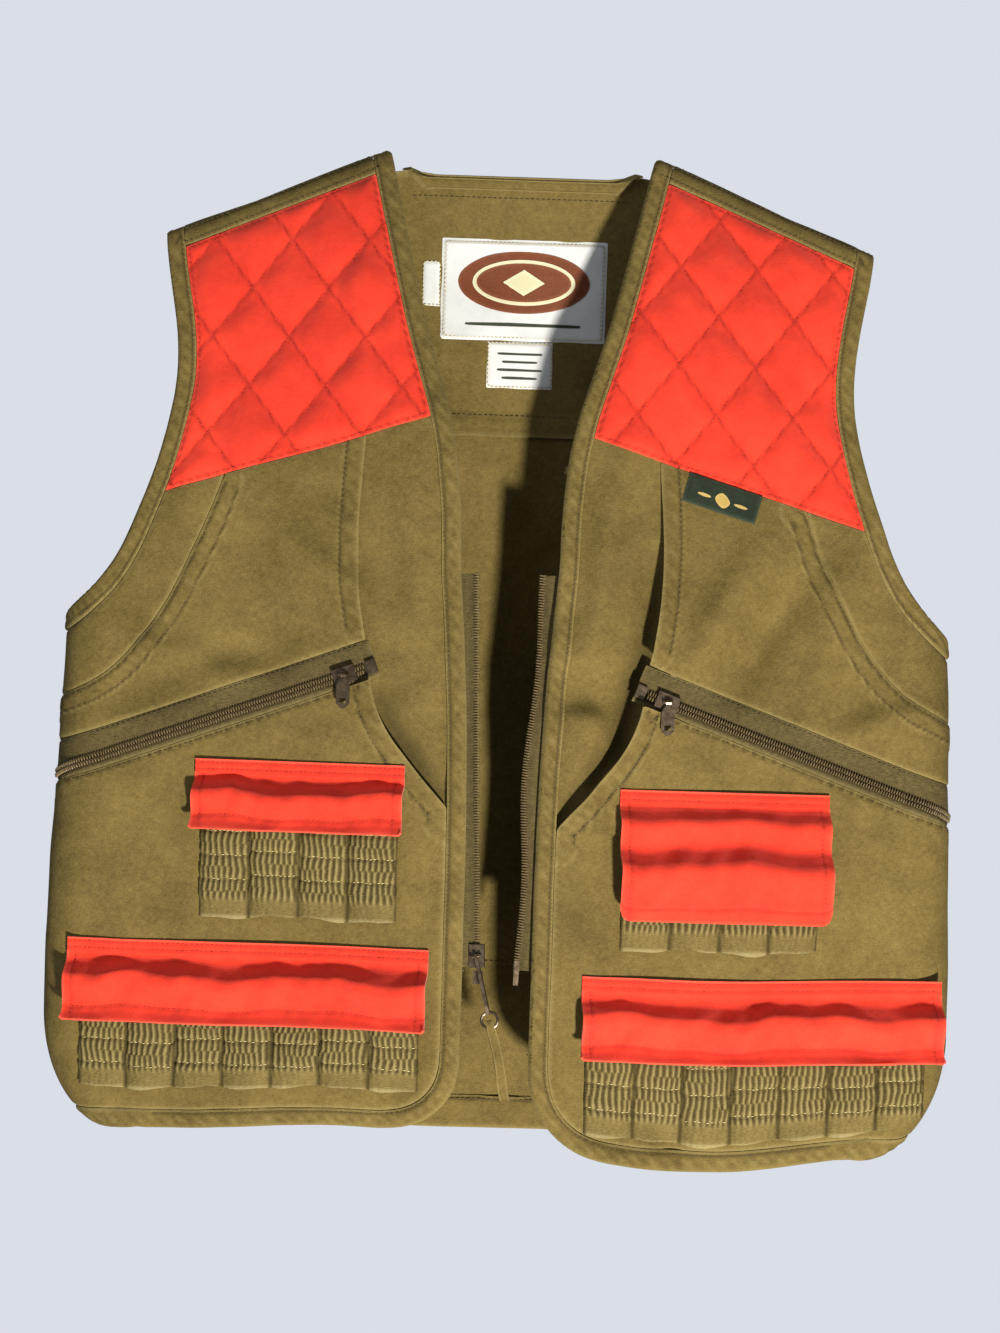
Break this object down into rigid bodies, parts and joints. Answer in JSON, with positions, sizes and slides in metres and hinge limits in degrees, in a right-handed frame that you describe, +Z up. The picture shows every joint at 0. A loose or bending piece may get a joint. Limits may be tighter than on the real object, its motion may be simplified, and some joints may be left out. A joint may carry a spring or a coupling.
{
  "type": "upland hunting vest",
  "caption": "Upland hunting vest of olive canvas with quilted blaze orange shoulders and pocket flaps, elastic shell loops, slanted zipped pockets and a rear game bag.",
  "frame": {"origin": "midway between the neck ends of the two shoulder seams, where the vest rests on a hanger", "axes": "+Z up along the back, -Y out of the fronts, +X towards the wearer's left"},
  "size_m": [0.5566, 0.1291, 0.6054],
  "materials": {
    "olive_canvas": "matte woven",
    "olive_elastic": "gathered elastic weave",
    "blaze_cloth": "matte brushed",
    "label_satin": "satin weave",
    "tag_weave": "woven label",
    "zip_tape": "herringbone tape",
    "coil_plastic": "nylon coil",
    "antique_brass": "dark antique plating"
  },
  "bodies": {
    "vest": {"back_yoke": "olive_canvas", "back_panel": "olive_canvas", "back_neck_binding": "olive_canvas", "back_hem_band": "olive_canvas", "game_bag": "olive_canvas", "game_bag_orange_panel": "blaze_cloth", "neck_label": "label_satin", "care_label": "label_satin", "size_tab": "label_satin", "chest_tag": "tag_weave", "right_front_panel": "olive_canvas", "right_shoulder_band": "olive_canvas", "right_side_panel": "olive_canvas", "right_chest_panel": "olive_canvas", "right_pocket_panel": "olive_canvas", "right_armhole_binding": "olive_canvas", "right_front_edge_binding": "olive_canvas", "right_shoulder_patch": "blaze_cloth", "right_pocket_zip_tape": "zip_tape", "right_front_zip_tape": "zip_tape", "right_pocket_zip_chain": "coil_plastic", "right_front_zip_chain": "coil_plastic", "right_pocket_zip_stop": "antique_brass", "right_chest_flap_strip": "blaze_cloth", "right_chest_shell_loops": "olive_elastic", "right_lower_flap_strip": "blaze_cloth", "right_lower_shell_loops": "olive_elastic", "left_front_panel": "olive_canvas", "left_shoulder_band": "olive_canvas", "left_side_panel": "olive_canvas", "left_chest_panel": "olive_canvas", "left_pocket_panel": "olive_canvas", "left_armhole_binding": "olive_canvas", "left_front_edge_binding": "olive_canvas", "left_shoulder_patch": "blaze_cloth", "left_pocket_zip_tape": "zip_tape", "left_front_zip_tape": "zip_tape", "left_pocket_zip_chain": "coil_plastic", "left_front_zip_chain": "coil_plastic", "left_pocket_zip_stop": "antique_brass", "left_chest_flap_strip": "blaze_cloth", "left_chest_shell_loops": "olive_elastic", "left_lower_flap_strip": "blaze_cloth", "left_lower_shell_loops": "olive_elastic", "front_zip_box": "antique_brass", "front_zip_pin": "antique_brass"},
    "right_pocket_slider": {"right_pocket_zip_slider": "antique_brass"},
    "left_pocket_slider": {"left_pocket_zip_slider": "antique_brass"},
    "right_pocket_pull": {"right_pocket_zip_pull": "antique_brass"},
    "left_pocket_pull": {"left_pocket_zip_pull": "antique_brass"},
    "front_slider": {"front_zip_slider": "antique_brass"},
    "front_pull": {"front_zip_pull": "antique_brass"},
    "front_pull_ring": {"front_zip_ring": "antique_brass", "front_pull_strap": "olive_canvas"},
    "right_chest_flap": {"right_chest_flap": "blaze_cloth"},
    "left_chest_flap": {"left_chest_flap": "blaze_cloth"},
    "right_lower_flap": {"right_lower_flap": "blaze_cloth"},
    "left_lower_flap": {"left_lower_flap": "blaze_cloth"}
  },
  "joints": [
    {"name": "right_pocket_slide", "type": "slide", "parent": "vest", "child": "right_pocket_slider", "axis": [-0.935, 0.0935, -0.342], "range_m": [0, 0.14]},
    {"name": "right_pocket_pull_swing", "type": "hinge", "parent": "right_pocket_slider", "child": "right_pocket_pull", "pos_m": [-0.0977, -0.04963, -0.32184], "axis": [-0.995, 0.0995, 0], "range_deg": [0, 150]},
    {"name": "left_pocket_slide", "type": "slide", "parent": "vest", "child": "left_pocket_slider", "axis": [0.935, 0.0935, -0.342], "range_m": [0, 0.14]},
    {"name": "left_pocket_pull_swing", "type": "hinge", "parent": "left_pocket_slider", "child": "left_pocket_pull", "pos_m": [0.0977, -0.04963, -0.33184], "axis": [-0.995, -0.0995, 0], "range_deg": [0, 150]},
    {"name": "front_slide", "type": "slide", "parent": "vest", "child": "front_slider", "axis": [-0.0342, 0.0034, 0.9994], "range_m": [0, 0.215]},
    {"name": "front_pull_swing", "type": "hinge", "parent": "front_slider", "child": "front_pull", "pos_m": [-0.0126, -0.04909, -0.48801], "axis": [-0.9656, 0.0966, -0.2414], "range_deg": [0, 120]},
    {"name": "front_ring_swing", "type": "hinge", "parent": "front_pull", "child": "front_pull_ring", "pos_m": [-0.00443, -0.04991, -0.521], "axis": [-0.9656, 0.0966, -0.2414], "range_deg": [-40, 60]},
    {"name": "right_chest_flap_lift", "type": "hinge", "parent": "vest", "child": "right_chest_flap", "pos_m": [-0.12294, -0.04348, -0.38315], "axis": [-0.995, 0.0995, 0], "range_deg": [0, 130]},
    {"name": "left_chest_flap_lift", "type": "hinge", "parent": "vest", "child": "left_chest_flap", "pos_m": [0.13488, -0.04229, -0.39315], "axis": [-0.995, -0.0995, 0], "range_deg": [0, 130]},
    {"name": "right_lower_flap_lift", "type": "hinge", "parent": "vest", "child": "right_lower_flap", "pos_m": [-0.1513, -0.04065, -0.49415], "axis": [-0.995, 0.0995, 0], "range_deg": [0, 130]},
    {"name": "left_lower_flap_lift", "type": "hinge", "parent": "vest", "child": "left_lower_flap", "pos_m": [0.1513, -0.04065, -0.50415], "axis": [-0.995, -0.0995, 0], "range_deg": [0, 130]}
  ]
}
